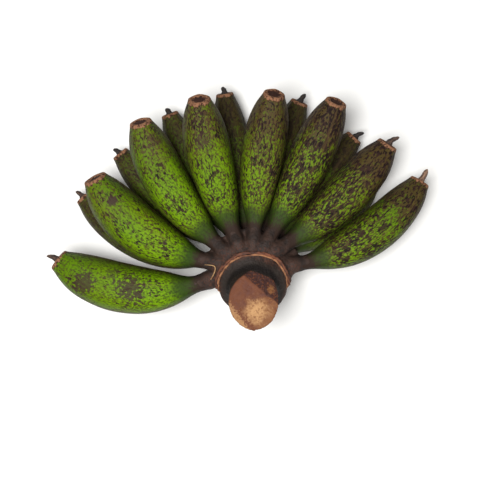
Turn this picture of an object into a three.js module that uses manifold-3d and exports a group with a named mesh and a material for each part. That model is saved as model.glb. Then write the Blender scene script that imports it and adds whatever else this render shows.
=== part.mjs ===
// A hand of green cooking bananas, cut from the bunch and laid on its back.
//
// Fifteen fingers grow in two rows from one crown on a short length of stalk. Everything is
// drawn first in the hand's own frame: X to the right across the fan, Y along the middle
// fingers, Z out of the fan towards the cut end of the stalk. The whole hand is then turned
// about two small angles, so that it lies on the bellies of the back row, and is set on z = 0.
// Millimetres throughout.

import * as THREE from 'three';
import { mergeVertices } from 'three/addons/utils/BufferGeometryUtils.js';
import Module from 'manifold-3d';

const wasm = await Module();
wasm.setup();

// ---- driving dimensions -------------------------------------------------------------------

const GAP = 0.3;                 // clearance between pieces that touch in the real hand
const PRESSED_GAP = 0.55;        // half the slit between two fingers pressed together
const BELLY_FLAT = 0.5;          // how far the bellies it rests on are pressed flat

const LIE_PITCH = -1.6;          // degrees about X that bring the back row down on the table
const LIE_ROLL = 2.2;            // degrees about Y that level it from left to right

const STALK_LEAN = 25;           // degrees the stalk leans towards -Y from square to the fan
const CROWN_CENTRE = new THREE.Vector3(10.3, -35.6, 8);
const STUB_RADIUS = 19;          // the stalk at its cut end
const STUB_HEIGHT = 27.5;        // from the middle of the crown to the cut
const SHOULDER_DEPTH = 14;       // how deep a finger's root runs into the crown
const SHOULDER_FLARE = 1.25;

// Outline of the stalk, as distance from its middle and height along it.
const STALK_OUTLINE = [
  [0, -42], [15, -42], [16.5, -41], [18, -36], [21, -29], [25, -20], [27, -10], [27, -3],
  [28, -1], [28, 1.5], [26, 3], [21.5, 5], [STUB_RADIUS, 11], [STUB_RADIUS, 60], [0, 60],
];
const STALK_SIDES = 40;

// The stub was cut through in three strokes. The first is nearly square to the view from
// above. The others slope away from it, past a line this far from the middle of the cut.
const CUT_LEAN = -4;
const SIDE_CUTS = [
  { toward: 51, distance: 10.7, slope: 32 },
  { toward: 216, distance: 15.4, slope: 20 },
];

const STYLE_RADIUS = 3.6;        // the dried flower stump at a finger's tip
const STYLE_SIDES = 8;
const STYLE_CURL = 1.5;
const STYLE_SHAPE = [[0, 0.85], [0.15, 1], [0.4, 0.8], [0.7, 0.65], [0.92, 0.5], [1, 0.2]];

// A frayed strand that has come away beside the bract scar.
const FIBRE_RADIUS = 0.5;
const FIBRE_SIDES = 8;
const FIBRE_STEPS = 16;
const FIBRE_ROUTE = [[-17, -25, 30], [-16, -20, 31], [-17, -16, 30], [-22, -15, 28.5], [-26, -16, 28]];

const FINGER_SIDES = 12;
const FINGER_RINGS = 17;
const PATH_STEPS = 48;
const RIDGE_HEIGHT = 0.03;       // five soft edges along each finger, as a share of its radius
const RIDGES = 5;
const PRESS_SHARPNESS = 9;       // how square a pressed flank is

// Radius along a finger from its stem to its tip, as a share of the greatest.
const GIRTH = [
  [0, 0.42], [0.07, 0.35], [0.14, 0.39], [0.21, 0.57], [0.32, 0.8], [0.45, 0.95],
  [0.57, 1], [0.7, 0.97], [0.83, 0.85], [0.92, 0.66], [0.97, 0.49], [1, 0.37],
];

// Where each row leaves the crown: height along the stalk and distance from its middle.
const ROWS = {
  front: { height: -9, reach: 32 },
  back: { height: -27, reach: 26 },
};

// seat: degrees round the crown. heading: degrees in the plane of the fan, at stem and tip.
// lift: degrees out of that plane, at stem and tip. style: length of the dried flower stump.
const FINGERS = [
  { row: 'front', seat: 177, heading: [204, 143], lift: [-12, 4], length: 134, radius: 20.5, style: 10 },
  { row: 'front', seat: 152, heading: [172, 118], lift: [-14, 20], length: 124, radius: 20.5 },
  { row: 'front', seat: 131, heading: [140, 106], lift: [-16, 28], length: 127, radius: 19 },
  { row: 'front', seat: 110, heading: [114, 96], lift: [-18, 36], length: 123, radius: 19 },
  { row: 'front', seat: 90, heading: [86, 78], lift: [-18, 38], length: 122, radius: 18 },
  { row: 'front', seat: 72, heading: [62, 66], lift: [-18, 32], length: 128, radius: 18 },
  { row: 'front', seat: 55, heading: [31, 56], lift: [-18, 16], length: 125, radius: 18.5, style: 10 },
  { row: 'front', seat: 24, heading: [7, 58], lift: [-14, 6], length: 131, radius: 18, style: 11 },
  { row: 'back', seat: 162, heading: [181, 131], lift: [-26, 6], length: 138, radius: 16, style: 8 },
  { row: 'back', seat: 139, heading: [147, 130], lift: [-30, 10], length: 128, radius: 15.5, style: 6 },
  { row: 'back', seat: 117, heading: [125, 111], lift: [-32, 14], length: 128, radius: 15.5, style: 6 },
  { row: 'back', seat: 96, heading: [100, 99], lift: [-32, 16], length: 129, radius: 15.5, style: 6 },
  { row: 'back', seat: 75, heading: [83, 66], lift: [-32, 16], length: 126, radius: 16, style: 8 },
  { row: 'back', seat: 54, heading: [58, 47], lift: [-30, 12], length: 119, radius: 16, style: 8 },
  { row: 'back', seat: 32, heading: [26, 51], lift: [-26, 6], length: 105, radius: 16.5, style: 6 },
];

// ---- materials ----------------------------------------------------------------------------

const finish = (color, roughness) => new THREE.MeshStandardMaterial({ color, roughness, metalness: 0 });
const PEEL = { front: 0x5a6e20, back: 0x4a5a20 };
const CROWN_BROWN = 0x3e2a26;
const STYLE_BROWN = 0x2a1d17;
const FIBRE_TAN = 0xa8825a;

// ---- shared geometry ----------------------------------------------------------------------

const radians = THREE.MathUtils.degToRad;
const mix = THREE.MathUtils.lerp;

// Straight-line reading of a [position, value] list.
function along(list, at) {
  const last = list.findIndex(([position]) => position >= at);
  if (last <= 0) return list[last < 0 ? list.length - 1 : 0][1];
  const [p0, v0] = list[last - 1];
  const [p1, v1] = list[last];
  return mix(v0, v1, (at - p0) / (p1 - p0));
}

// A closed body through rings of points, each ring counter-clockwise seen from its far side.
function loft(rings) {
  const sides = rings[0].length;
  const middle = (ring) => ring.reduce((sum, p) => sum.add(p), new THREE.Vector3()).divideScalar(sides);
  const points = [...rings.flat(), middle(rings[0]), middle(rings.at(-1))];
  const startCentre = rings.length * sides;
  const endCentre = startCentre + 1;
  const lastRing = (rings.length - 1) * sides;
  const index = [];
  for (let side = 0; side < sides; side += 1) {
    const next = (side + 1) % sides;
    index.push(startCentre, next, side);
    index.push(endCentre, lastRing + side, lastRing + next);
    for (let ring = 0; ring < lastRing; ring += sides) {
      index.push(ring + side, ring + next, ring + sides + next);
      index.push(ring + side, ring + sides + next, ring + sides + side);
    }
  }
  const geometry = new THREE.BufferGeometry().setFromPoints(points);
  geometry.setIndex(index);
  return geometry;
}

const toSolid = (geometry) => new wasm.Manifold(new wasm.Mesh({
  numProp: 3,
  vertProperties: Float32Array.from(geometry.attributes.position.array),
  triVerts: Uint32Array.from(geometry.index.array),
}));

function toGeometry(solid) {
  const { vertProperties, triVerts } = solid.getMesh();
  const geometry = new THREE.BufferGeometry();
  geometry.setAttribute('position', new THREE.BufferAttribute(vertProperties, 3));
  geometry.setIndex(new THREE.BufferAttribute(triVerts, 1));
  return geometry;
}

// A three.js shape with its seams closed, so that it can be cut and joined.
function welded(geometry) {
  geometry.deleteAttribute('normal');
  geometry.deleteAttribute('uv');
  return mergeVertices(geometry, 1e-3);
}

// Everything past a plane, as one large block to cut with.
function beyond(point, normal) {
  const block = new THREE.BoxGeometry(CUTTER, CUTTER, CUTTER).translate(0, 0, CUTTER / 2);
  block.applyQuaternion(new THREE.Quaternion().setFromUnitVectors(Z, normal));
  return toSolid(welded(block.translate(point.x, point.y, point.z)));
}

// ---- the stalk's own directions -----------------------------------------------------------

const X = new THREE.Vector3(1, 0, 0);
const Z = new THREE.Vector3(0, 0, 1);
const CUTTER = 400;
const lean = new THREE.Quaternion().setFromAxisAngle(X, radians(STALK_LEAN));
const stalkUp = Z.clone().applyQuaternion(lean);
const stalkAcross = new THREE.Vector3(0, 1, 0).applyQuaternion(lean);

const onStalk = (height) => CROWN_CENTRE.clone().addScaledVector(stalkUp, height);

// ---- fingers ------------------------------------------------------------------------------

function direction(heading, lift) {
  const flat = Math.cos(radians(lift));
  return new THREE.Vector3(
    flat * Math.cos(radians(heading)),
    flat * Math.sin(radians(heading)),
    Math.sin(radians(lift)),
  );
}

// The finger's middle line: where it is, where it points and how thick it is at each step.
function middleLine(finger) {
  const { height, reach } = ROWS[finger.row];
  const point = onStalk(height)
    .addScaledVector(X, reach * Math.cos(radians(finger.seat)))
    .addScaledVector(stalkAcross, reach * Math.sin(radians(finger.seat)));
  const stations = [];
  for (let step = 0; step <= PATH_STEPS; step += 1) {
    const at = step / PATH_STEPS;
    const tangent = direction(mix(...finger.heading, at), mix(...finger.lift, at));
    stations.push({ at, point: point.clone(), tangent, radius: finger.radius * along(GIRTH, at) });
    point.addScaledVector(tangent, finger.length / PATH_STEPS);
  }
  return stations;
}

const fingers = FINGERS.map((finger) => ({ ...finger, line: middleLine(finger) }));

// The planes that a finger's neighbours press against it at one station of its middle line.
function pressedBy(finger, station) {
  const planes = [];
  for (const other of fingers) {
    if (other === finger) continue;
    const gap = (s) => s.point.distanceTo(station.point);
    const nearest = other.line.reduce((best, s) => (gap(s) < gap(best) ? s : best));
    const share = station.radius / (station.radius + nearest.radius);
    planes.push({
      toward: nearest.point.clone().sub(station.point).normalize(),
      distance: gap(nearest) * share - PRESSED_GAP,
    });
  }
  return planes;
}

// One ring of the finger's skin: a soft pentagon, flattened where a neighbour presses on it.
function ring(finger, station, swell) {
  const side = new THREE.Vector3().crossVectors(Z, station.tangent).normalize();
  const top = new THREE.Vector3().crossVectors(station.tangent, side);
  const planes = pressedBy(finger, station);
  const points = [];
  for (let i = 0; i < FINGER_SIDES; i += 1) {
    const angle = (2 * Math.PI * i) / FINGER_SIDES;
    const outward = side.clone().multiplyScalar(Math.cos(angle)).addScaledVector(top, Math.sin(angle));
    const free = station.radius * (1 + RIDGE_HEIGHT * Math.cos(RIDGES * angle - Math.PI / 2));
    let total = free ** -PRESS_SHARPNESS;
    for (const plane of planes) {
      const facing = outward.dot(plane.toward);
      if (facing > 0) total += (plane.distance / facing) ** -PRESS_SHARPNESS;
    }
    const radius = total ** (-1 / PRESS_SHARPNESS) + swell;
    points.push(station.point.clone().addScaledVector(outward, radius));
  }
  return points;
}

const stationAt = (finger, at) => finger.line[Math.round(at * PATH_STEPS)];

function fingerSkin(finger) {
  const rings = [];
  for (let i = 0; i < FINGER_RINGS; i += 1) {
    rings.push(ring(finger, stationAt(finger, i / (FINGER_RINGS - 1)), 0));
  }
  return loft(rings);
}

// The room a finger's stem needs in the crown, a gap wider than the stem all round.
function stemRoom(finger) {
  const rings = [0, 0.06, 0.12, 0.18, 0.24].map((at) => ring(finger, stationAt(finger, at), GAP));
  const back = finger.line[0].tangent.clone().multiplyScalar(-GAP);
  rings[0].forEach((point) => point.add(back));
  return loft(rings);
}

// The dried stump of the flower, curling up from the scar at the finger's tip.
function styleStump(finger) {
  const tip = finger.line.at(-1);
  const side = new THREE.Vector3().crossVectors(Z, tip.tangent).normalize();
  const top = new THREE.Vector3().crossVectors(tip.tangent, side);
  const rings = STYLE_SHAPE.map(([at, share]) => {
    const middle = tip.point.clone()
      .addScaledVector(tip.tangent, GAP + at * finger.style)
      .addScaledVector(top, STYLE_CURL * at * at);
    return circle(middle, side, top, STYLE_RADIUS * share, STYLE_SIDES);
  });
  return loft(rings);
}

function circle(middle, side, top, radius, sides) {
  return Array.from({ length: sides }, (_, i) => {
    const angle = (2 * Math.PI * i) / sides;
    return middle.clone()
      .addScaledVector(side, radius * Math.cos(angle))
      .addScaledVector(top, radius * Math.sin(angle));
  });
}

// ---- crown and stalk ----------------------------------------------------------------------

// A root runs from a finger's stem into the crown, widening as it goes.
function shoulder(finger) {
  const { point, tangent, radius } = finger.line[0];
  const side = new THREE.Vector3().crossVectors(Z, tangent).normalize();
  const top = new THREE.Vector3().crossVectors(tangent, side);
  const outer = circle(point, side, top, radius, FINGER_SIDES);
  const buried = point.clone().addScaledVector(tangent, -SHOULDER_DEPTH);
  const inner = circle(buried, side, top, radius * SHOULDER_FLARE, FINGER_SIDES);
  return loft([inner, outer]);
}

function crownAndStalk() {
  const outline = STALK_OUTLINE.map(([radius, height]) => new THREE.Vector2(radius, height));
  const turned = new THREE.LatheGeometry(outline, STALK_SIDES).rotateX(Math.PI / 2);
  turned.applyQuaternion(lean).translate(CROWN_CENTRE.x, CROWN_CENTRE.y, CROWN_CENTRE.z);
  let solid = toSolid(welded(turned));

  const cutMiddle = onStalk(STUB_HEIGHT);
  const cutLean = new THREE.Quaternion().setFromAxisAngle(X, radians(CUT_LEAN));
  solid = solid.subtract(beyond(cutMiddle, Z.clone().applyQuaternion(cutLean)));
  for (const { toward, distance, slope } of SIDE_CUTS) {
    const outward = direction(toward, 0).applyQuaternion(cutLean);
    const hinge = new THREE.Vector3().crossVectors(Z.clone().applyQuaternion(cutLean), outward);
    const normal = Z.clone().applyQuaternion(cutLean).applyAxisAngle(hinge, radians(slope));
    solid = solid.subtract(beyond(cutMiddle.clone().addScaledVector(outward, distance), normal));
  }

  for (const finger of fingers) solid = solid.add(toSolid(shoulder(finger)));
  for (const finger of fingers) solid = solid.subtract(toSolid(stemRoom(finger)));
  return toGeometry(solid);
}

function looseFibre() {
  const route = new THREE.CatmullRomCurve3(FIBRE_ROUTE.map((place) => new THREE.Vector3(...place)));
  const section = new THREE.Shape(
    circle(new THREE.Vector3(), X, new THREE.Vector3(0, 1, 0), FIBRE_RADIUS, FIBRE_SIDES)
      .map(({ x, y }) => new THREE.Vector2(x, y)),
  );
  return new THREE.ExtrudeGeometry(section, { steps: FIBRE_STEPS, extrudePath: route });
}

// ---- the hand, lying down -----------------------------------------------------------------

const hand = new THREE.Group();
hand.rotation.set(radians(LIE_PITCH), radians(LIE_ROLL), 0);

function place(name, geometry, material) {
  const mesh = new THREE.Mesh(geometry, material);
  mesh.name = name;
  hand.add(mesh);
  return mesh;
}

place('crown_stalk', crownAndStalk(), finish(CROWN_BROWN, 0.8));
place('loose_fibre', looseFibre(), finish(FIBRE_TAN, 0.9));

const rowCount = { front: 0, back: 0 };
for (const finger of fingers) {
  rowCount[finger.row] += 1;
  const number = rowCount[finger.row];
  place(`finger_${finger.row}_${number}`, fingerSkin(finger), finish(PEEL[finger.row], 0.5));
  if (finger.style) {
    place(`style_${finger.row}_${number}`, styleStump(finger), finish(STYLE_BROWN, 0.9));
  }
}

// The lowest bellies are pressed flat where the hand rests, and the hand is set on z = 0 with
// the middle of its length and breadth over the origin.
hand.updateMatrixWorld(true);
const table = new THREE.Box3().setFromObject(hand, true).min.z + BELLY_FLAT;
const toHand = hand.quaternion.clone().invert();
const tablePoint = new THREE.Vector3(0, 0, table).applyQuaternion(toHand);
const tableDown = new THREE.Vector3(0, 0, -1).applyQuaternion(toHand);
for (const mesh of hand.children) {
  if (new THREE.Box3().setFromObject(mesh, true).min.z < table) {
    mesh.geometry = toGeometry(toSolid(mesh.geometry).subtract(beyond(tablePoint, tableDown)));
  }
}
const extent = new THREE.Box3().setFromObject(hand, true);
const middle = extent.getCenter(new THREE.Vector3());
hand.position.set(-middle.x, -middle.y, -table);

const group = new THREE.Group();
group.name = 'banana_hand';
group.add(hand);

export default group;
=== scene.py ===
import math

import bpy
import numpy as np
from mathutils import Matrix, Vector, noise


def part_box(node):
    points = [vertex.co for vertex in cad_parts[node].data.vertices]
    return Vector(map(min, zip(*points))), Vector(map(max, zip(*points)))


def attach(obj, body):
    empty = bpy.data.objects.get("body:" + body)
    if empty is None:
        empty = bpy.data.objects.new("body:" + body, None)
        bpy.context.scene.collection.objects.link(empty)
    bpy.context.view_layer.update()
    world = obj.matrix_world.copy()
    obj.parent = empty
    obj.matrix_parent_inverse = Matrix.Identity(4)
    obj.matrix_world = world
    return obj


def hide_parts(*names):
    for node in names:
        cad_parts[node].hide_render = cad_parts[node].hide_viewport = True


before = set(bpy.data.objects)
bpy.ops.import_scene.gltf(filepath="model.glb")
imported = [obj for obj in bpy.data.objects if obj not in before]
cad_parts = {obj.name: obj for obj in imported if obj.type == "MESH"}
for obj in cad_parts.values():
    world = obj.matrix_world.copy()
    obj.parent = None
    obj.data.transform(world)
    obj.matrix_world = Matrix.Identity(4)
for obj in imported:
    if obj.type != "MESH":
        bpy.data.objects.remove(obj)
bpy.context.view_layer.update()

# A hand of green cooking bananas lying on its back row, cut stalk towards the viewer.
# It is modelled in its own frame, as the construction is: X across the fan, Y along the middle
# fingers, Z out towards the cut end of the stalk. Then it is laid where the frame has it.
MM = 0.001

# ---- the hand's driving dimensions, in millimetres and degrees -----------------------------
LIE_PITCH = -1.6
LIE_ROLL = 2.2
STALK_LEAN = 25
CROWN_CENTRE = np.array([10.3, -35.6, 8.0])
STUB_RADIUS = 19
STUB_HEIGHT = 27.5
CUT_LEAN = -4
SIDE_CUTS = [(51, 10.7, 32), (216, 15.4, 20)]      # toward, distance from the middle, slope
ROWS = {"front": (-9, 32), "back": (-27, 26)}     # height on the stalk, distance from its middle

# Radius along a finger from stem to tip, as a share of the greatest. The stems are up to a
# millimetre slimmer than the construction's.
GIRTH = [
    (0, 0.42), (0.07, 0.31), (0.14, 0.34), (0.21, 0.53), (0.32, 0.8), (0.45, 0.95),
    (0.57, 1), (0.7, 0.97), (0.83, 0.85), (0.92, 0.66), (0.97, 0.49), (1, 0.4),
]

# Each finger's way through the air: seat round the crown, heading in the fan and lift out of
# it (each at stem and tip), length and greatest radius. Then its skin: how much of it is
# speckled, how brown it is towards the tip, and how far its green turns to yellow.
FINGERS = {
    "front_1": dict(seat=177, heading=(204, 143), lift=(-12, 4), length=134, radius=20.5,
                    speckled=0.22, browned=0.15, yellow=0.35),
    "front_2": dict(seat=152, heading=(172, 118), lift=(-14, 20), length=124, radius=20.5,
                    speckled=0.34, browned=0.3, yellow=0.6),
    "front_3": dict(seat=131, heading=(140, 106), lift=(-16, 28), length=127, radius=19,
                    speckled=0.32, browned=0.45, yellow=0.5),
    "front_4": dict(seat=110, heading=(114, 96), lift=(-18, 36), length=123, radius=19,
                    speckled=0.46, browned=0.6, yellow=0.5),
    "front_5": dict(seat=90, heading=(86, 78), lift=(-18, 38), length=122, radius=18,
                    speckled=0.56, browned=0.85, yellow=0.55),
    "front_6": dict(seat=72, heading=(62, 66), lift=(-18, 32), length=128, radius=18,
                    speckled=0.7, browned=1.0, yellow=0.75),
    "front_7": dict(seat=55, heading=(31, 56), lift=(-18, 16), length=125, radius=18.5,
                    speckled=0.72, browned=1.2, yellow=0.9),
    "front_8": dict(seat=24, heading=(7, 58), lift=(-14, 6), length=131, radius=18,
                    speckled=0.6, browned=0.9, yellow=0.6),
    "back_1": dict(seat=162, heading=(181, 131), lift=(-26, 6), length=138, radius=16,
                   speckled=0.4, browned=0.6, yellow=0.5),
    "back_2": dict(seat=139, heading=(147, 130), lift=(-30, 10), length=128, radius=15.5,
                   speckled=0.4, browned=0.6, yellow=0.5),
    "back_3": dict(seat=117, heading=(125, 111), lift=(-32, 14), length=128, radius=15.5,
                   speckled=0.45, browned=0.6, yellow=0.5),
    "back_4": dict(seat=96, heading=(100, 99), lift=(-32, 16), length=129, radius=15.5,
                   speckled=0.55, browned=0.9, yellow=0.4),
    "back_5": dict(seat=75, heading=(83, 66), lift=(-32, 16), length=126, radius=16,
                   speckled=0.5, browned=0.8, yellow=0.4),
    "back_6": dict(seat=54, heading=(58, 47), lift=(-30, 12), length=119, radius=16,
                   speckled=0.6, browned=0.9, yellow=0.5),
    "back_7": dict(seat=32, heading=(26, 51), lift=(-26, 6), length=105, radius=16.5,
                   speckled=0.3, browned=0.5, yellow=0.5),
}

# ---- shaping numbers -----------------------------------------------------------------------
PATH_STEPS = 240
RING_SIDES = 10                # alternate corners and flats of a five-sided finger
SUBDIVISIONS = 3
ROUNDING_LOSS = 0.936          # what subdivision leaves of a ten-sided ring's radius
CORNER = 0.085                 # how far the five corners stand out before subdivision
PRESSED_GAP = 0.3
PRESS_SHARPNESS = 9
LUMP_SIZE = 24
LUMP_HEIGHT = 0.022
CREASE_HEIGHT = 0.006
SLEEVE_IN = 16                 # how far a root runs into the crown
SLEEVE_OUT = 0.15              # and up its finger, as a share of the length
CROWN_VOXEL = 0.8


def srgb(red, green, blue):
    """A colour as a paint chart gives it, turned into light."""
    channels = [c / 255 for c in (red, green, blue)]
    return tuple(((c + 0.055) / 1.055) ** 2.4 if c > 0.04 else c / 12.92 for c in channels) + (1.0,)


# ---- the hand's own directions -------------------------------------------------------------
TURN = Matrix.Rotation(math.radians(LIE_PITCH), 3, "X") @ Matrix.Rotation(math.radians(LIE_ROLL), 3, "Y")
LEAN = np.array(Matrix.Rotation(math.radians(STALK_LEAN), 3, "X"))
ACROSS, UP_FAN, STALK_UP = LEAN.T


def direction(heading, lift):
    heading, lift = np.radians(heading), np.radians(lift)
    flat = np.cos(lift)
    return np.stack([flat * np.cos(heading), flat * np.sin(heading), np.sin(lift)], axis=-1)


def middle_line(finger, row):
    """The finger's middle line, in millimetres: places, directions and radii, stem to tip."""
    height, reach = ROWS[row]
    seat = math.radians(finger["seat"])
    start = CROWN_CENTRE + STALK_UP * height
    start = start + reach * (math.cos(seat) * ACROSS + math.sin(seat) * UP_FAN)
    at = np.linspace(0, 1, PATH_STEPS + 1)
    tangents = direction(np.interp(at, (0, 1), finger["heading"]), np.interp(at, (0, 1), finger["lift"]))
    step = finger["length"] / PATH_STEPS
    halfway = (tangents[1:] + tangents[:-1]) / 2
    points = np.vstack([start, start + np.cumsum(halfway * step, axis=0)])
    radii = finger["radius"] * np.interp(at, *np.array(GIRTH).T)
    return points, tangents, radii


LINES = {name: middle_line(finger, name.split("_")[0]) for name, finger in FINGERS.items()}


def pressing_planes(name):
    """For each step of a finger, where its neighbours' flanks stop it: directions and distances."""
    points, _, radii = LINES[name]
    towards, distances = [], []
    for other, (other_points, _, other_radii) in LINES.items():
        if other == name:
            continue
        apart = np.linalg.norm(points[:, None] - other_points[None], axis=2)
        nearest = apart.argmin(axis=1)
        gap = apart.min(axis=1)
        share = radii / (radii + other_radii[nearest])
        towards.append((other_points[nearest] - points) / gap[:, None])
        distances.append(gap * share - PRESSED_GAP)
    return np.array(towards), np.array(distances)


# ---- modelling by hand ---------------------------------------------------------------------
def start_edit(piece):
    bpy.ops.object.select_all(action="DESELECT")
    piece.select_set(True)
    bpy.context.view_layer.objects.active = piece
    bpy.ops.object.mode_set(mode="EDIT")
    bpy.ops.mesh.select_mode(type="VERT")


def end_edit():
    bpy.ops.mesh.select_all(action="SELECT")
    bpy.ops.mesh.normals_make_consistent(inside=False)
    bpy.ops.object.mode_set(mode="OBJECT")


def turned_body(name, rings, sides, corner=0.0):
    """A closed body drawn up from a ring: each later ring is extruded, then sized. Millimetres."""
    height, radius = rings[0]
    bpy.ops.object.select_all(action="DESELECT")
    bpy.ops.mesh.primitive_circle_add(vertices=sides, radius=radius * MM, fill_type="NGON",
                                      location=(0, 0, height * MM))
    piece = bpy.context.object
    piece.name = name
    bpy.ops.object.transform_apply(location=True, rotation=True, scale=True)
    for vertex in piece.data.vertices:
        swing = 1 + corner if vertex.index % 2 else 1 - corner
        vertex.co.x *= swing
        vertex.co.y *= swing
    start_edit(piece)
    bpy.ops.mesh.select_all(action="SELECT")
    for next_height, next_radius in rings[1:]:
        bpy.ops.mesh.extrude_region_move(
            TRANSFORM_OT_translate={"value": (0, 0, (next_height - height) * MM)})
        share = next_radius / radius
        bpy.ops.transform.resize(value=(share, share, 1), center_override=(0, 0, next_height * MM))
        height, radius = next_height, next_radius
    end_edit()
    return piece


def apply_modifier(piece, kind, **settings):
    bpy.ops.object.select_all(action="DESELECT")
    piece.select_set(True)
    bpy.context.view_layer.objects.active = piece
    modifier = piece.modifiers.new(kind.lower(), kind)
    for key, value in settings.items():
        setattr(modifier, key, value)
    bpy.ops.object.modifier_apply(modifier=modifier.name)


def subdivide(piece, levels):
    apply_modifier(piece, "SUBSURF", levels=levels, render_levels=levels)


def places(piece):
    flat = np.empty(len(piece.data.vertices) * 3, np.float32)
    piece.data.vertices.foreach_get("co", flat)
    return flat.reshape(-1, 3).astype(float)


def set_places(piece, points):
    piece.data.vertices.foreach_set("co", np.asarray(points, np.float32).ravel())
    piece.data.update()


def keep_vector(piece, name, values):
    attribute = piece.data.attributes.new(name, "FLOAT_VECTOR", "POINT")
    attribute.data.foreach_set("vector", np.asarray(values, np.float32).ravel())


def smooth(piece):
    bpy.ops.object.select_all(action="DESELECT")
    piece.select_set(True)
    bpy.context.view_layer.objects.active = piece
    bpy.ops.object.shade_smooth()


def noise_at(points, size, seed):
    """Soft noise, about -1 to 1, at each point in millimetres, with lumps of the given size."""
    shift = Vector((seed * 17.3, seed * 5.1, seed * 9.7))
    return np.array([noise.noise(Vector(point) / size + shift) for point in points])


def bend(name, straight, pressed=True):
    """Straight finger places (across, up, along) in millimetres, carried onto its middle line."""
    points, tangents, radii = LINES[name]
    length = FINGERS[name]["length"]
    along = straight[:, 2] / length * PATH_STEPS
    step = np.clip(np.round(along).astype(int), 0, PATH_STEPS)
    on_path = np.clip(along, 0, PATH_STEPS)
    steps = np.arange(PATH_STEPS + 1)
    middle = np.stack([np.interp(on_path, steps, points[:, axis]) for axis in range(3)], axis=1)
    forward = np.stack([np.interp(on_path, steps, tangents[:, axis]) for axis in range(3)], axis=1)
    forward /= np.linalg.norm(forward, axis=1)[:, None]
    middle += forward * ((along - on_path) / PATH_STEPS * length)[:, None]
    side = np.cross([0, 0, 1], forward)
    side /= np.linalg.norm(side, axis=1)[:, None]
    top = np.cross(forward, side)
    outward = side * straight[:, :1] + top * straight[:, 1:2]
    radius = np.linalg.norm(outward, axis=1)
    radius[radius < 1e-6] = 1e-6
    outward /= radius[:, None]
    if pressed:
        towards, distances = pressing_planes(name)
        total = radius ** -PRESS_SHARPNESS
        for toward, distance in zip(towards, distances):
            facing = np.einsum("ij,ij->i", outward, toward[step])
            facing[facing < 0.05] = 0.05
            total += (distance[step] / facing) ** -PRESS_SHARPNESS
        radius = total ** (-1 / PRESS_SHARPNESS)
    return middle + outward * radius[:, None]


# ---- nodes ---------------------------------------------------------------------------------
def put(tree, kind, inputs=(), **settings):
    """Adds a node, sets it up, and gives each input its value or the socket that drives it."""
    node = tree.nodes.new("ShaderNode" + kind)
    for key, value in settings.items():
        setattr(node, key, value)
    for key, value in dict(inputs).items():
        if isinstance(value, bpy.types.NodeSocket):
            tree.links.new(value, node.inputs[key])
        else:
            node.inputs[key].default_value = value
    return node


def maths(tree, operation, first, second=0.0, clamp=False):
    return put(tree, "Math", {0: first, 1: second}, operation=operation, use_clamp=clamp).outputs[0]


def soft_step(tree, value, low, high):
    """0 below low, 1 above high, and smooth between them. High may be the smaller."""
    inputs = {"Value": value, "From Min": low, "From Max": high}
    return put(tree, "MapRange", inputs, interpolation_type="SMOOTHSTEP").outputs[0]


def blend_colour(tree, factor, first, second):
    return put(tree, "Mix", {0: factor, 6: first, 7: second}, data_type="RGBA").outputs[2]


def grain(tree, where, size_mm, detail=2.0, roughness=0.5):
    inputs = {"Vector": where, "Scale": 1 / (size_mm * MM), "Detail": detail, "Roughness": roughness}
    return put(tree, "TexNoise", inputs).outputs[0]


def stretched(tree, where, factors):
    return put(tree, "VectorMath", {0: where, 1: factors}, operation="MULTIPLY").outputs[0]


def distance(tree, where, place):
    return put(tree, "VectorMath", {0: where, 1: place}, operation="DISTANCE").outputs["Value"]


def new_group(name, inputs, outputs):
    tree = bpy.data.node_groups.new(name, "ShaderNodeTree")
    for label, kind in inputs:
        tree.interface.new_socket(label, in_out="INPUT", socket_type="NodeSocket" + kind)
    for label, kind in outputs:
        tree.interface.new_socket(label, in_out="OUTPUT", socket_type="NodeSocket" + kind)
    return tree, tree.nodes.new("NodeGroupInput").outputs, tree.nodes.new("NodeGroupOutput").inputs


def place_group(tree, group, **inputs):
    node = tree.nodes.new("ShaderNodeGroup")
    node.node_tree = group
    for label, value in inputs.items():
        socket = node.inputs[label.replace("_", " ")]
        if isinstance(value, bpy.types.NodeSocket):
            tree.links.new(value, socket)
        else:
            socket.default_value = value
    return node.outputs


def new_material(name):
    material = bpy.data.materials.new(name)
    material.use_nodes = True
    tree = material.node_tree
    return material, tree, tree.nodes["Principled BSDF"]


def attribute(tree, name):
    return put(tree, "Attribute", attribute_name=name).outputs["Vector"]


def bump(tree, height, depth_mm):
    inputs = {"Height": height, "Distance": depth_mm * MM, "Strength": 1.0}
    return put(tree, "Bump", inputs).outputs[0]


# ---- the peel ------------------------------------------------------------------------------
LEAF_GREEN = srgb(72, 104, 6)
YELLOW_GREEN = srgb(92, 94, 10)
BRIGHT_GREEN = srgb(112, 150, 8)
# painted shade: the dark green laid over the flanks of each finger
FLANK_SHADE_GREEN = srgb(40, 50, 20)
OLIVE_BROWN = srgb(62, 50, 26)
TIP_BROWN = srgb(70, 52, 32)
FLECK_BROWN = srgb(48, 31, 28)
FLECK_BLACK = srgb(24, 15, 17)
STEM_BROWN = srgb(50, 38, 32)
STEM_TEAL = srgb(38, 54, 22)
RIDGE_TAN = srgb(104, 84, 46)
SCAR_TAN = srgb(140, 100, 74)
SCAR_DARK = srgb(58, 38, 32)
# painted shade: the dark brown that the back row's peel is mixed towards
SHADE_BROWN = srgb(44, 38, 22)


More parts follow.
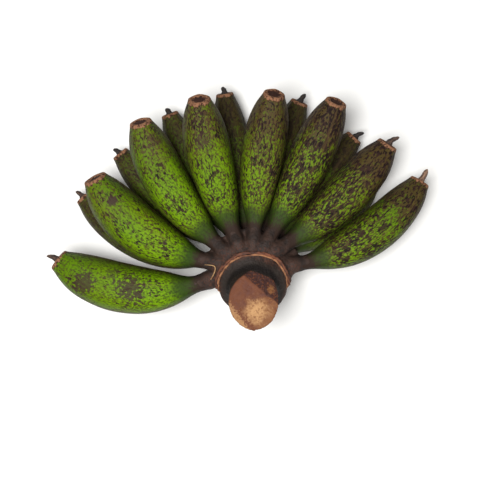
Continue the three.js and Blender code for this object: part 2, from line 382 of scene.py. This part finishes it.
def peel_group():
    """Colour, roughness and relief of a mottled green peel, over a straightened finger."""
    tree, given, out = new_group(
        "peel",
        [("Straight", "Vector"), ("Zones", "Vector"), ("Seed", "Float"), ("Speckled", "Float"),
         ("Browned", "Float"), ("Yellow", "Float"), ("Dulled", "Float")],
        [("Colour", "Color"), ("Roughness", "Float"), ("Height", "Float")],
    )
    shift = put(tree, "CombineXYZ", {0: given["Seed"], 1: given["Seed"], 2: given["Seed"]}).outputs[0]
    where = put(tree, "VectorMath", {0: given["Straight"], 1: shift}, operation="ADD").outputs[0]
    zones = put(tree, "SeparateXYZ", {0: given["Zones"]}).outputs
    along, from_tip, from_axis = zones
    sides = put(tree, "SeparateXYZ", {0: given["Straight"]}).outputs
    angle = maths(tree, "ARCTAN2", sides[1], sides[0])

    clusters = grain(tree, where, 15, 2)
    drift = grain(tree, stretched(tree, where, (1, 1, 0.5)), 34, 1)
    speckle = grain(tree, stretched(tree, where, (1, 1, 0.6)), 1.5, 3, 0.6)
    flecks = grain(tree, stretched(tree, where, (1, 1, 0.36)), 1.9, 1.6, 0.5)
    dashes = grain(tree, stretched(tree, where, (1, 1, 0.33)), 1.3, 1.5)
    spread = maths(tree, "MULTIPLY", maths(tree, "SUBTRACT", clusters, 0.5), 0.4)
    body = soft_step(tree, along, 0.15, 0.3)

    # green ground with brighter spots, yellower here and there
    yellow = maths(tree, "MULTIPLY", given["Yellow"], soft_step(tree, drift, 0.36, 0.66), clamp=True)
    colour = blend_colour(tree, yellow, LEAF_GREEN, YELLOW_GREEN)
    fresh = maths(tree, "ADD", 0.35, maths(tree, "MULTIPLY", soft_step(tree, along, 0.85, 0.4), 0.6))
    bright = maths(tree, "MULTIPLY", soft_step(tree, speckle, 0.4, 0.62), body)
    colour = blend_colour(tree, maths(tree, "MULTIPLY", bright, fresh), colour, BRIGHT_GREEN)

    # a fine brown mottle, thickest at the tip; painted shade on the flanks darkens them and makes the mottle
    # thin on top and thick on the flanks
    # painted shade: 0 on top of the finger, rising to 1 on its flanks and underside
    flank_shade = soft_step(tree, maths(tree, "SINE", angle), 0.75, -0.25)
    near_tip = soft_step(tree, maths(tree, "ADD", along, spread), 0.5, 0.88)
    # the mottle is real browning at the tip and in clouds, plus painted shade on the flanks
    mottle = maths(tree, "MAXIMUM", maths(tree, "MULTIPLY", near_tip, given["Browned"]),
                   maths(tree, "MULTIPLY", flank_shade, 0.75))
    cloud = maths(tree, "MULTIPLY", soft_step(tree, drift, 0.48, 0.7), given["Browned"])
    mottle = maths(tree, "MAXIMUM", mottle, maths(tree, "MULTIPLY", cloud, 0.7))
    mottle = maths(tree, "MAXIMUM", mottle, maths(tree, "MULTIPLY", given["Browned"], 0.4), clamp=True)
    mottle_level = maths(tree, "ADD", maths(tree, "MULTIPLY", mottle, 0.25), 0.39)
    veil = soft_step(tree, maths(tree, "SUBTRACT", speckle, mottle_level), 0.03, -0.05)
    # painted shade on the flanks: darker green, and through the mottle more olive brown and brown veil
    colour = blend_colour(tree, maths(tree, "MULTIPLY", flank_shade, 0.7), colour, FLANK_SHADE_GREEN)
    colour = blend_colour(tree, maths(tree, "MULTIPLY", mottle, 0.72), colour, OLIVE_BROWN)
    colour = blend_colour(tree, maths(tree, "MULTIPLY", veil, 0.8), colour, TIP_BROWN)

    # brown flecks, thickest in clusters and towards the tip, and small black dashes among them
    level = maths(tree, "ADD", maths(tree, "MULTIPLY", given["Speckled"], 0.26), 0.3)
    level = maths(tree, "ADD", level, maths(tree, "MULTIPLY", spread, 0.9))
    level = maths(tree, "MULTIPLY", level, body)
    fleck = soft_step(tree, maths(tree, "SUBTRACT", flecks, level), 0.012, -0.025)
    colour = blend_colour(tree, maths(tree, "MULTIPLY", fleck, 0.9), colour, FLECK_BROWN)
    dash_level = maths(tree, "SUBTRACT", level, 0.03)
    dash = soft_step(tree, maths(tree, "SUBTRACT", dashes, dash_level), 0.0, -0.02)
    colour = blend_colour(tree, maths(tree, "MULTIPLY", dash, 0.85), colour, FLECK_BLACK)

    # five worn edges along the finger
    corner = maths(tree, "COSINE", maths(tree, "MULTIPLY", maths(tree, "ADD", angle, math.pi / 5), 5))
    edge = maths(tree, "MULTIPLY", soft_step(tree, corner, 0.88, 1.0), soft_step(tree, clusters, 0.42, 0.58))
    edge = maths(tree, "MULTIPLY", edge, soft_step(tree, along, 0.25, 0.4))
    colour = blend_colour(tree, maths(tree, "MULTIPLY", edge, 0.26), colour, RIDGE_TAN)

    # the stem: teal green, then brown
    ragged = maths(tree, "ADD", along, maths(tree, "MULTIPLY", maths(tree, "SUBTRACT", clusters, 0.5), 0.12))
    ragged = maths(tree, "ADD", ragged, maths(tree, "MULTIPLY", maths(tree, "SUBTRACT", speckle, 0.5), 0.08))
    teal = maths(tree, "MULTIPLY", soft_step(tree, ragged, 0.29, 0.18), 0.8)
    colour = blend_colour(tree, teal, colour, STEM_TEAL)
    stem = soft_step(tree, ragged, 0.18, 0.1)
    colour = blend_colour(tree, stem, colour, STEM_BROWN)
    # painted shade: the peel beyond the stem is darkened to brown by its row's shade
    row_shade = maths(tree, "MULTIPLY", given["Dulled"], soft_step(tree, along, 0.1, 0.3))
    colour = blend_colour(tree, row_shade, colour, SHADE_BROWN)

    # the scar left by the flower: a tan collar round a dark disc
    fray = maths(tree, "SUBTRACT", flecks, 0.5)
    frayed = maths(tree, "ADD", from_tip, maths(tree, "MULTIPLY", fray, 0.004))
    scar = soft_step(tree, frayed, 2.9 * MM, 2.2 * MM)
    worn = blend_colour(tree, soft_step(tree, speckle, 0.36, 0.54), SCAR_DARK, SCAR_TAN)
    colour = blend_colour(tree, scar, colour, worn)
    near_axis = maths(tree, "ADD", from_axis, maths(tree, "MULTIPLY", fray, 0.006))
    disc = maths(tree, "MULTIPLY", soft_step(tree, near_axis, 5.4 * MM, 4.4 * MM), scar)
    colour = blend_colour(tree, disc, colour, SCAR_DARK)
    tree.links.new(colour, out["Colour"])

    rough = maths(tree, "ADD", 0.52, maths(tree, "MULTIPLY", fleck, 0.12))
    rough = maths(tree, "ADD", rough, maths(tree, "MULTIPLY", stem, 0.12))
    rough = maths(tree, "ADD", rough, maths(tree, "MULTIPLY", scar, 0.3), clamp=True)
    tree.links.new(rough, out["Roughness"])

    pores = grain(tree, where, 0.9, 2)
    lines = grain(tree, stretched(tree, where, (1, 1, 0.08)), 1.6, 2)
    height = maths(tree, "ADD", maths(tree, "MULTIPLY", pores, 0.35), maths(tree, "MULTIPLY", lines, 0.5))
    height = maths(tree, "SUBTRACT", height, maths(tree, "MULTIPLY", fleck, 0.22))
    height = maths(tree, "ADD", height, maths(tree, "MULTIPLY", maths(tree, "MULTIPLY", scar, flecks), 2.0))
    tree.links.new(height, out["Height"])
    return tree


def blotch_group():
    """A ragged patch on the peel, round a place on the straightened finger."""
    tree, given, out = new_group(
        "blotch", [("Straight", "Vector"), ("Centre", "Vector"), ("Radius", "Float"), ("Ragged", "Float")],
        [("Mask", "Float")],
    )
    far = distance(tree, given["Straight"], given["Centre"])
    rough_edge = maths(tree, "SUBTRACT", grain(tree, given["Straight"], 2.4, 3), 0.5)
    share = maths(tree, "DIVIDE", far, given["Radius"])
    share = maths(tree, "ADD", share, maths(tree, "MULTIPLY", rough_edge, given["Ragged"]))
    tree.links.new(soft_step(tree, share, 1.1, 0.8), out["Mask"])
    return tree


PEEL = peel_group()
BLOTCH = blotch_group()
BLOTCH_BROWN = srgb(58, 42, 36)
BACK_ROW_SHADE = {"front": 0.0, "back": 0.55}      # how far each row's peel is darkened to brown as painted shade: the back row lies in the front row's shadow

# Marks on single fingers: along from the stem and angle round it (90 is the top), in
# millimetres and degrees, then radius, raggedness and strength.
MARKS = {
    "front_1": [(104, 75, 9, 4, 0.8), (66, 95, 11, 6, 0.85), (84, 120, 5, 5, 0.5)],
    "front_2": [(103, 100, 4.4, 0.9, 0.95), (44, 100, 2.4, 2, 0.7)],
    "front_3": [(112, 120, 5, 5, 0.5)],
    "front_4": [(92, 80, 6, 5, 0.6)],
}


def peel_material(name):
    material, tree, shader = new_material("peel_" + name)
    finger = FINGERS[name]
    straight = attribute(tree, "straight")
    peel = place_group(
        tree, PEEL, Straight=straight, Zones=attribute(tree, "zones"),
        Seed=1.7 * (1 + list(FINGERS).index(name)), Speckled=finger["speckled"],
        Browned=finger["browned"], Yellow=finger["yellow"],
        Dulled=BACK_ROW_SHADE[name.split("_")[0]],
    )
    colour = peel["Colour"]
    for along, angle, radius, ragged, strength in MARKS.get(name, ()):
        out = finger["radius"] * np.interp(along / finger["length"], *np.array(GIRTH).T)
        turn = math.radians(angle)
        centre = (out * math.cos(turn) * MM, out * math.sin(turn) * MM, along * MM)
        mask = place_group(tree, BLOTCH, Straight=straight, Centre=centre, Radius=radius * MM, Ragged=ragged)
        colour = blend_colour(tree, maths(tree, "MULTIPLY", mask["Mask"], strength), colour, BLOTCH_BROWN)
    tree.links.new(colour, shader.inputs["Base Color"])
    tree.links.new(peel["Roughness"], shader.inputs["Roughness"])
    shader.inputs["Specular IOR Level"].default_value = 0.07
    tree.links.new(bump(tree, peel["Height"], 0.5), shader.inputs["Normal"])
    return material


# ---- fingers -------------------------------------------------------------------------------
def scar_rings(length, radius):
    """The end of a finger: a low rim, a sunk disc and a nub, as (along, radius)."""
    end = 0.4 * radius
    return [
        (length - 1.6, end + 1.1), (length - 0.5, end + 0.7), (length, end - 0.4),
        (length - 0.3, end - 1.6), (length - 1.0, end - 2.6), (length - 1.2, end - 4.2),
        (length - 0.6, end - 5.2), (length - 0.5, 0.6),
    ]


def make_finger(name):
    finger = FINGERS[name]
    length, radius = finger["length"], finger["radius"]
    rings = [(share * length, size * radius / ROUNDING_LOSS) for share, size in GIRTH[:-1]]
    rings += [(height, size / ROUNDING_LOSS) for height, size in scar_rings(length, radius)]
    piece = turned_body("banana_" + name, rings, RING_SIDES, CORNER)
    subdivide(piece, SUBDIVISIONS)
    straight = places(piece) / MM
    seed = 1 + list(FINGERS).index(name)
    lumps = 1 + LUMP_HEIGHT * noise_at(straight, LUMP_SIZE, seed)
    creases = 1 + CREASE_HEIGHT * noise_at(straight * (1, 1, 0.12), 4, seed + 40)
    straight[:, :2] *= (lumps * creases)[:, None]
    keep_vector(piece, "straight", straight * MM)
    axis = np.hypot(straight[:, 0], straight[:, 1])
    share, from_tip = straight[:, 2] / length, length - straight[:, 2]
    keep_vector(piece, "zones", np.stack([share, from_tip * MM, axis * MM], axis=1))
    set_places(piece, bend(name, straight) * MM)
    smooth(piece)
    piece.data.materials.append(peel_material(name))
    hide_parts("finger_" + name)
    return piece


hand = [make_finger(name) for name in FINGERS]


# ---- the crown and the stalk ---------------------------------------------------------------
# Outline of the stalk, as height along it and distance from its middle.
STALK_OUTLINE = [
    (-42, 15), (-41, 16.5), (-36, 18), (-29, 21), (-25, 23), (-21, 24.6), (-17, 25.8),
    (-13, 26.5), (-9, 27), (-6, 27), (-3, 27), (-1, 27.6),
    (1.5, 27), (3, 25), (5, 21.5), (8, 19.8), (11, STUB_RADIUS), (24, STUB_RADIUS), (60, STUB_RADIUS),
]
STALK_SIDES = 48
WEB_TOP, WEB_RADIUS = 9, 46    # the crown is smoothed into webs below and within these
# Where the upper side stands out to carry the roots: height, depth and share of the radius.
SPREADS = [(-6, 4.5, 0.3), (-18, 6, 0.65)]
CUT_TURN = np.array(Matrix.Rotation(math.radians(CUT_LEAN), 3, "X"))
CUT_MIDDLE = CROWN_CENTRE + STALK_UP * STUB_HEIGHT
CUT_SIDE, CUT_UP, CUT_OUT = CUT_TURN.T


def cut_planes():
    """The three strokes through the stub: a point on each and the way it faces."""
    planes = [(CUT_MIDDLE, CUT_OUT)]
    for toward, distance, slope in SIDE_CUTS:
        toward, slope = math.radians(toward), math.radians(slope)
        outward = math.cos(toward) * CUT_SIDE + math.sin(toward) * CUT_UP
        facing = math.cos(slope) * CUT_OUT + math.sin(slope) * outward
        planes.append((CUT_MIDDLE + distance * outward, facing))
    return planes


def cut(piece, point, facing):
    start_edit(piece)
    bpy.ops.mesh.select_all(action="SELECT")
    bpy.ops.mesh.bisect(plane_co=point * MM, plane_no=facing, clear_outer=True, use_fill=True)
    end_edit()


def make_root(name):
    """A finger's root: it runs out of the crown as a sleeve that dies into the finger."""
    finger = FINGERS[name]
    length, radius = finger["length"], finger["radius"]
    rings = [(-SLEEVE_IN, 0.12), (-SLEEVE_IN / 2, 0.25), (0, 0.37)]
    rings += [(0.035 * length, 0.36), (0.07 * length, 0.32)]
    rings = [(height, size * radius + 0.5) for height, size in rings]
    rings += [(0.11 * length, 0.322 * radius + 0.1), (SLEEVE_OUT * length, 0.25 * radius)]
    piece = turned_body("root_" + name, rings, 24)
    set_places(piece, bend(name, places(piece) / MM) * MM)
    return piece


def make_crown():
    piece = turned_body("crown_and_stalk", STALK_OUTLINE, STALK_SIDES)
    stalk = places(piece) / MM
    upper = np.clip(2 * np.sin(np.arctan2(stalk[:, 1], stalk[:, 0])) + 0.3, 0, 1)
    spread = sum(share * np.exp(-((stalk[:, 2] - at) / depth) ** 2) for at, depth, share in SPREADS)
    stalk[:, :2] *= (1 + spread * upper)[:, None]
    set_places(piece, (stalk @ LEAN.T + CROWN_CENTRE) * MM)
    for point, facing in cut_planes():
        cut(piece, point, facing)
    roots = [make_root(name) for name in FINGERS]
    bpy.ops.object.select_all(action="DESELECT")
    for root in roots:
        root.select_set(True)
    piece.select_set(True)
    bpy.context.view_layer.objects.active = piece
    bpy.ops.object.join()
    apply_modifier(piece, "REMESH", mode="VOXEL", voxel_size=CROWN_VOXEL * MM)

    stalk = (places(piece) / MM - CROWN_CENTRE) @ LEAN
    soft = piece.vertex_groups.new(name="soft")
    inner = (stalk[:, 2] < WEB_TOP) & (np.hypot(stalk[:, 0], stalk[:, 1]) < WEB_RADIUS)
    soft.add([int(i) for i in np.nonzero(inner)[0]], 1.0, "REPLACE")
    apply_modifier(piece, "SMOOTH", factor=0.6, iterations=22, vertex_group="soft")
    weather_crown(piece)
    smooth(piece)
    piece.data.materials.append(crown_material())
    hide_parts("crown_stalk")
    return piece


def weather_crown(piece):
    """Lumps, bark streaks and a torn cut, and the coordinates that the crown's paint follows."""
    points = places(piece) / MM
    stalk = (points - CROWN_CENTRE) @ LEAN
    outward = np.empty(len(points) * 3, np.float32)
    piece.data.vertices.foreach_get("normal", outward)
    outward = outward.reshape(-1, 3).astype(float)
    near = np.min([np.abs((points - point) @ facing) for point, facing in cut_planes()], axis=0)
    on_cut = np.clip((1.1 - near) / 0.5, 0, 1) * (stalk[:, 2] > 12)
    bark = noise_at(stalk * (1, 1, 0.3), 3.5, 3) * 0.3 + noise_at(stalk, 9, 4) * 0.45
    torn = noise_at(points, 2.2, 5) * 0.3 + noise_at(points, 6, 6) * 0.4
    shift = bark * (1 - on_cut) + torn * on_cut
    across, up, _ = ((points - CUT_MIDDLE) @ CUT_TURN).T
    keep_vector(piece, "stalk", stalk * MM)
    keep_vector(piece, "cut_face", np.stack([across * MM, up * MM, on_cut], axis=1))
    set_places(piece, (points + outward * shift[:, None]) * MM)


CROWN_DARK = srgb(40, 31, 27)
CROWN_BROWN = srgb(58, 42, 35)
RUST = srgb(128, 68, 44)
BARK = srgb(42, 35, 30)
# painted shade: the near-black of the shadowed channel round the stub
CHANNEL_SHADE = srgb(24, 19, 17)
CUT_CREAM = srgb(184, 140, 94)
CUT_TAN = srgb(130, 86, 52)
CUT_RUST = srgb(104, 60, 38)
CUT_REDDISH = srgb(92, 54, 42)
CUT_PURPLE = srgb(64, 40, 36)


def crown_material():
    material, tree, shader = new_material("crown")
    stalk = attribute(tree, "stalk")
    height = put(tree, "SeparateXYZ", {0: stalk}).outputs[2]
    mottle = grain(tree, stalk, 9, 3)
    fine = grain(tree, stalk, 1.6, 3)
    streaks = grain(tree, stretched(tree, stalk, (1, 1, 0.2)), 2.4, 3)
    colour = blend_colour(tree, soft_step(tree, mottle, 0.4, 0.6), CROWN_DARK, CROWN_BROWN)
    rusty = maths(tree, "MULTIPLY", soft_step(tree, height, -8 * MM, -MM), soft_step(tree, fine, 0.5, 0.62))
    colour = blend_colour(tree, maths(tree, "MULTIPLY", rusty, 0.16), colour, RUST)
    bark = soft_step(tree, height, 1.5 * MM, 4 * MM)
    bark_colour = blend_colour(tree, soft_step(tree, streaks, 0.42, 0.64), BARK, CROWN_DARK)
    # painted shade: a near-black band round the stub, about 8.5 mm up, where the channel between collar wall
    # and stub lies in shadow
    channel = maths(tree, "ABSOLUTE", maths(tree, "SUBTRACT", height, 8.5 * MM))
    bark_colour = blend_colour(tree, soft_step(tree, channel, 4 * MM, 1.5 * MM), bark_colour, CHANNEL_SHADE)
    colour = blend_colour(tree, bark, colour, bark_colour)

    # the cut: cream pith low on the right, tan round it, rust above, a dark stroke at the corner
    place = put(tree, "SeparateXYZ", {0: attribute(tree, "cut_face")}).outputs
    across, up, on_cut = place
    wander = maths(tree, "MULTIPLY", maths(tree, "SUBTRACT", mottle, 0.5), 0.02)
    torn = maths(tree, "MULTIPLY", maths(tree, "SUBTRACT", fine, 0.5), 0.012)
    wander = maths(tree, "ADD", wander, torn)
    flat = put(tree, "CombineXYZ", {0: across, 1: up}).outputs[0]
    pith = maths(tree, "ADD", distance(tree, flat, (2 * MM, -7 * MM, 0)), wander)
    tan = blend_colour(tree, soft_step(tree, fine, 0.4, 0.6), CUT_RUST, CUT_TAN)
    face = blend_colour(tree, soft_step(tree, pith, 13 * MM, 2 * MM), tan, CUT_CREAM)
    above = maths(tree, "SUBTRACT", maths(tree, "ADD", up, wander), maths(tree, "MULTIPLY", across, 0.35))
    rust = blend_colour(tree, soft_step(tree, mottle, 0.38, 0.62), CUT_RUST, CUT_REDDISH)
    face = blend_colour(tree, soft_step(tree, above, -2 * MM, 6 * MM), face, rust)
    corner = maths(tree, "ADD", maths(tree, "MULTIPLY", across, 0.63), maths(tree, "MULTIPLY", up, 0.77))
    corner = maths(tree, "ADD", corner, maths(tree, "MULTIPLY", wander, 0.25))
    stroke = blend_colour(tree, soft_step(tree, fine, 0.5, 0.66), CUT_PURPLE, CUT_RUST)
    face = blend_colour(tree, soft_step(tree, corner, 10 * MM, 11.2 * MM), face, stroke)
    orange = maths(tree, "ADD", distance(tree, flat, (16 * MM, 9 * MM, 0)), wander)
    face = blend_colour(tree, soft_step(tree, orange, 4 * MM, 1.5 * MM), face, CUT_TAN)
    low = maths(tree, "ADD", maths(tree, "MULTIPLY", across, -0.81), maths(tree, "MULTIPLY", up, -0.585))
    groove = maths(tree, "ABSOLUTE", maths(tree, "SUBTRACT", maths(tree, "ADD", low, torn), 13.4 * MM))
    face = blend_colour(tree, soft_step(tree, groove, 2.6 * MM, 0.8 * MM), face, CUT_RUST)
    slab = soft_step(tree, maths(tree, "ADD", low, torn), 14.4 * MM, 15.6 * MM)
    face = blend_colour(tree, maths(tree, "MULTIPLY", slab, 0.6), face, CUT_CREAM)
    spots = soft_step(tree, fine, 0.54, 0.64)
    face = blend_colour(tree, maths(tree, "MULTIPLY", spots, 0.45), face, CUT_RUST)
    colour = blend_colour(tree, on_cut, colour, face)
    tail = soft_step(tree, height, -40.6 * MM, -41.4 * MM)
    colour = blend_colour(tree, tail, colour, face)
    tree.links.new(colour, shader.inputs["Base Color"])
    rough = maths(tree, "ADD", 0.5, maths(tree, "MULTIPLY", fine, 0.35), clamp=True)
    tree.links.new(rough, shader.inputs["Roughness"])
    shader.inputs["Specular IOR Level"].default_value = 0.25
    relief = maths(tree, "ADD", maths(tree, "MULTIPLY", fine, 0.8), maths(tree, "MULTIPLY", streaks, 0.8))
    tree.links.new(bump(tree, relief, 0.8), shader.inputs["Normal"])
    return material


# ---- the scar ring of the fallen bract -----------------------------------------------------
# Radius, thickness, fraying, and dark and light colours of the strands that make the ring.
RING_STRANDS = [
    (27.4, 0.75, 0.5, srgb(92, 54, 36), srgb(166, 114, 76)),
    (28.9, 1.15, 0.9, srgb(58, 34, 26), srgb(116, 66, 42)),
]
RING_FROM, RING_TO = -16, 204         # degrees round the crown where the ring shows
RING_FADE = 16


def crown_top(crown, radius):
    """The height of the crown's surface round a circle about the stalk: angles and heights."""
    stalk = (places(crown) / MM - CROWN_CENTRE) @ LEAN
    near = (np.abs(np.hypot(stalk[:, 0], stalk[:, 1]) - radius) < 1) & (stalk[:, 2] < 12)
    angles = np.degrees(np.arctan2(stalk[near, 1], stalk[near, 0]))
    steps = np.arange(-180, 181, 3)
    heights = np.array([stalk[near, 2][np.abs(angles - step) < 3].max(initial=-3) for step in steps])
    soft = np.convolve(np.pad(heights, 2, mode="edge"), np.ones(5) / 5, mode="valid")
    return steps, soft


def make_bract_scar(crown, number, radius, thickness, fraying, dark, light):
    """A fibrous ridge round the upper side of the crown; below, it dies away into the crown."""
    bpy.ops.object.select_all(action="DESELECT")
    bpy.ops.mesh.primitive_torus_add(
        major_radius=radius * MM, minor_radius=thickness * MM,
        major_segments=420, minor_segments=14, location=(0, 0, 0))
    piece = bpy.context.object
    piece.name = f"bract_scar_ring_{number}"
    stalk = places(piece) / MM
    angle = np.arctan2(stalk[:, 1], stalk[:, 0])
    degrees = (np.degrees(angle) + 90) % 360 - 90
    shown = np.clip((degrees - RING_FROM) / RING_FADE, 0, 1) * np.clip((RING_TO - degrees) / RING_FADE, 0, 1)
    distance = np.hypot(stalk[:, 0], stalk[:, 1])
    round_it = angle * radius
    fray = noise_at(np.stack([round_it, distance * 3, stalk[:, 2] * 3], 1), 2.0, 8 + number)
    wave = noise_at(np.stack([round_it, 0 * angle, 0 * angle], 1), 7, 19 + number)
    size = 0.15 + (0.85 + fraying * fray + 0.3 * wave) * shown
    across = (distance - radius) * size
    height = np.interp(np.degrees(angle), *crown_top(crown, radius)) - 3 * (1 - shown)
    out = radius + 0.8 * wave - 4 * (1 - shown) + across
    keep_vector(piece, "stalk", np.stack([round_it, across, stalk[:, 2]], axis=1) * MM)
    stalk = np.stack([out * np.cos(angle), out * np.sin(angle), height + stalk[:, 2] * size], axis=1)
    set_places(piece, (stalk @ LEAN.T + CROWN_CENTRE) * MM)
    smooth(piece)
    piece.data.materials.append(fibre_material(piece.name, dark, light, (0.25, 1, 1)))
    return piece


def fibre_material(name, dark, light, stretch):
    material, tree, shader = new_material(name)
    where = stretched(tree, attribute(tree, "stalk"), stretch)
    strands = grain(tree, where, 0.9, 3, 0.6)
    patches = grain(tree, where, 5, 2)
    factor = soft_step(tree, maths(tree, "ADD", strands, maths(tree, "SUBTRACT", patches, 0.5)), 0.34, 0.66)
    tree.links.new(blend_colour(tree, factor, dark, light), shader.inputs["Base Color"])
    rough = maths(tree, "ADD", 0.6, maths(tree, "MULTIPLY", strands, 0.3))
    tree.links.new(rough, shader.inputs["Roughness"])
    tree.links.new(bump(tree, strands, 0.6), shader.inputs["Normal"])
    return material


# ---- dried flower stumps -------------------------------------------------------------------
# Length, droop at the end (to the side and up), and whether it is black, brown or pale.
STUMPS = {
    "front_1": (9.5, (2.5, 2.0), "brown"),
    "front_7": (10, (-3.5, 1.5), "brown"),
    "front_8": (11.5, (0.6, 0.6), "pale"),
    "back_1": (8, (1.5, 1.5), "brown"),
    "back_2": (6.5, (1.2, 1.0), "black"),
    "back_3": (6, (0.8, 1.2), "black"),
    "back_4": (6.5, (0.6, 1.0), "black"),
    "back_5": (8.5, (-1.6, 1.0), "black"),
    "back_6": (8.5, (-3.0, 1.2), "black"),
    "back_7": (6, (1.0, 1.0), "brown"),
}
STUMP_SHAPE = [
    (0, 1.25), (0.12, 1.1), (0.3, 0.85), (0.5, 0.7), (0.68, 0.78), (0.84, 0.62), (0.95, 0.4), (1, 0.2),
]
STUMP_RADIUS = 2.7
STUMP_TONES = {
    "black": (srgb(20, 15, 13), srgb(48, 36, 30)),
    "brown": (srgb(38, 27, 23), srgb(92, 68, 54)),
    "pale": (srgb(78, 56, 44), srgb(150, 116, 92)),
}
STUMP_MATERIALS = {}


def make_stump(name, length, droop, tone):
    rings = [(at * length, size * STUMP_RADIUS) for at, size in STUMP_SHAPE]
    piece = turned_body("dry_stump_" + name, rings, 12)
    subdivide(piece, 2)
    straight = places(piece) / MM
    seed = 60 + list(STUMPS).index(name)
    folds = 1 + 0.3 * noise_at(straight * (1, 1, 0.35), 1.7, seed) + 0.16 * noise_at(straight, 0.8, seed + 1)
    straight[:, :2] *= folds[:, None]
    keep_vector(piece, "stalk", straight * MM)
    share = straight[:, 2] / length
    straight[:, 0] += droop[0] * share ** 2
    straight[:, 1] += droop[1] * share ** 2
    straight[:, 2] += FINGERS[name]["length"] - 1.0
    set_places(piece, bend(name, straight, pressed=False) * MM)
    smooth(piece)
    if tone not in STUMP_MATERIALS:
        STUMP_MATERIALS[tone] = fibre_material("dry_stump_" + tone, *STUMP_TONES[tone], (1, 1, 0.3))
    piece.data.materials.append(STUMP_MATERIALS[tone])
    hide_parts("style_" + name)
    return piece


# ---- a loose strand beside the bract scar --------------------------------------------------
STRAND_RADIUS = 0.38
STRAND_ROUTE = [(-23, -31, 10.5), (-20.5, -27, 12), (-19, -22, 14.8), (-20.5, -19.5, 15.5), (-28, -19.5, 12)]


def make_strand():
    curve = bpy.data.curves.new("loose_strand", "CURVE")
    curve.dimensions = "3D"
    curve.bevel_depth = STRAND_RADIUS * MM
    curve.bevel_resolution = 3
    curve.resolution_u = 8
    curve.use_fill_caps = True
    spline = curve.splines.new("NURBS")
    spline.points.add(len(STRAND_ROUTE) - 1)
    spline.use_endpoint_u = True
    spline.order_u = 3
    for point, place in zip(spline.points, STRAND_ROUTE):
        point.co = (*(Vector(place) * MM), 1)
    spline.points[0].radius = 1.2
    spline.points[-1].radius = 0.35
    piece = bpy.data.objects.new("loose_strand", curve)
    bpy.context.collection.objects.link(piece)
    bpy.ops.object.select_all(action="DESELECT")
    piece.select_set(True)
    bpy.context.view_layer.objects.active = piece
    bpy.ops.object.convert(target="MESH")
    piece = bpy.context.object
    keep_vector(piece, "stalk", places(piece))
    smooth(piece)
    piece.data.materials.append(fibre_material("strand", srgb(140, 100, 64), srgb(196, 156, 108), (1, 1, 1)))
    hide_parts("loose_fibre")
    return piece


# ---- laying the hand where the frame has it ------------------------------------------------
def lay_down(pieces):
    """Turns the pieces as the hand lies, then moves them so that the fingers meet the frame's."""
    turn = np.array(TURN)
    for piece in pieces:
        set_places(piece, places(piece) @ turn.T)
    shifts = []
    for piece in pieces:
        node = "finger_" + piece.name.removeprefix("banana_")
        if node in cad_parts:
            low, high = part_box(node)
            points = places(piece)
            shifts.append((np.array(low + high) - points.min(axis=0) - points.max(axis=0)) / 2)
    shift = np.mean(shifts, axis=0)
    for piece in pieces:
        points = places(piece) + shift
        points[:, 2] = np.maximum(points[:, 2], 0)
        set_places(piece, points)
        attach(piece, "root")
    return Vector(shift)


crown = make_crown()
hand.append(crown)
hand += [make_bract_scar(crown, number + 1, *strand) for number, strand in enumerate(RING_STRANDS)]
hand += [make_stump(name, *stump) for name, stump in STUMPS.items()]
hand.append(make_strand())
hand_at = lay_down(hand)


# ---- floor, light and camera ---------------------------------------------------------------
CAMERA_DISTANCE = 0.65
SENSOR = 36
VIEW_WIDTH = 0.384             # how much of the fan's plane the camera takes in, in metres


def make_floor():
    bpy.ops.object.select_all(action="DESELECT")
    bpy.ops.mesh.primitive_plane_add(size=6, location=(0, 0, 0))
    floor = bpy.context.object
    floor.name = "floor"
    material, tree, shader = new_material("floor_paper")
    shader.inputs["Base Color"].default_value = srgb(244, 243, 240)
    shader.inputs["Roughness"].default_value = 0.9
    floor.data.materials.append(material)


def make_light(name, place, size, power):
    light = bpy.data.lights.new(name, "AREA")
    light.size = size
    light.energy = power
    lamp = bpy.data.objects.new(name, light)
    bpy.context.collection.objects.link(lamp)
    lamp.location = place
    lamp.rotation_euler = (-Vector(place)).to_track_quat("-Z", "Y").to_euler()


def make_camera():
    data = bpy.data.cameras.new("camera")
    data.sensor_width = SENSOR
    data.lens = SENSOR * CAMERA_DISTANCE / VIEW_WIDTH
    camera = bpy.data.objects.new("camera", data)
    bpy.context.collection.objects.link(camera)
    place = hand_at + TURN @ Vector((0, 0, CAMERA_DISTANCE))
    camera.matrix_world = Matrix.Translation(place) @ TURN.to_4x4()
    bpy.context.scene.camera = camera


def make_world():
    world = bpy.data.worlds.new("studio")
    world.use_nodes = True
    world.node_tree.nodes["Background"].inputs["Color"].default_value = (1, 1, 1, 1)
    world.node_tree.nodes["Background"].inputs["Strength"].default_value = 0.2
    bpy.context.scene.world = world


make_floor()
make_light("key", (-0.15, -0.05, 1.1), 0.4, 14)
make_light("fill", (0.5, -0.7, 0.9), 0.9, 2)
make_camera()
make_world()
bpy.context.scene.view_settings.view_transform = "Standard"
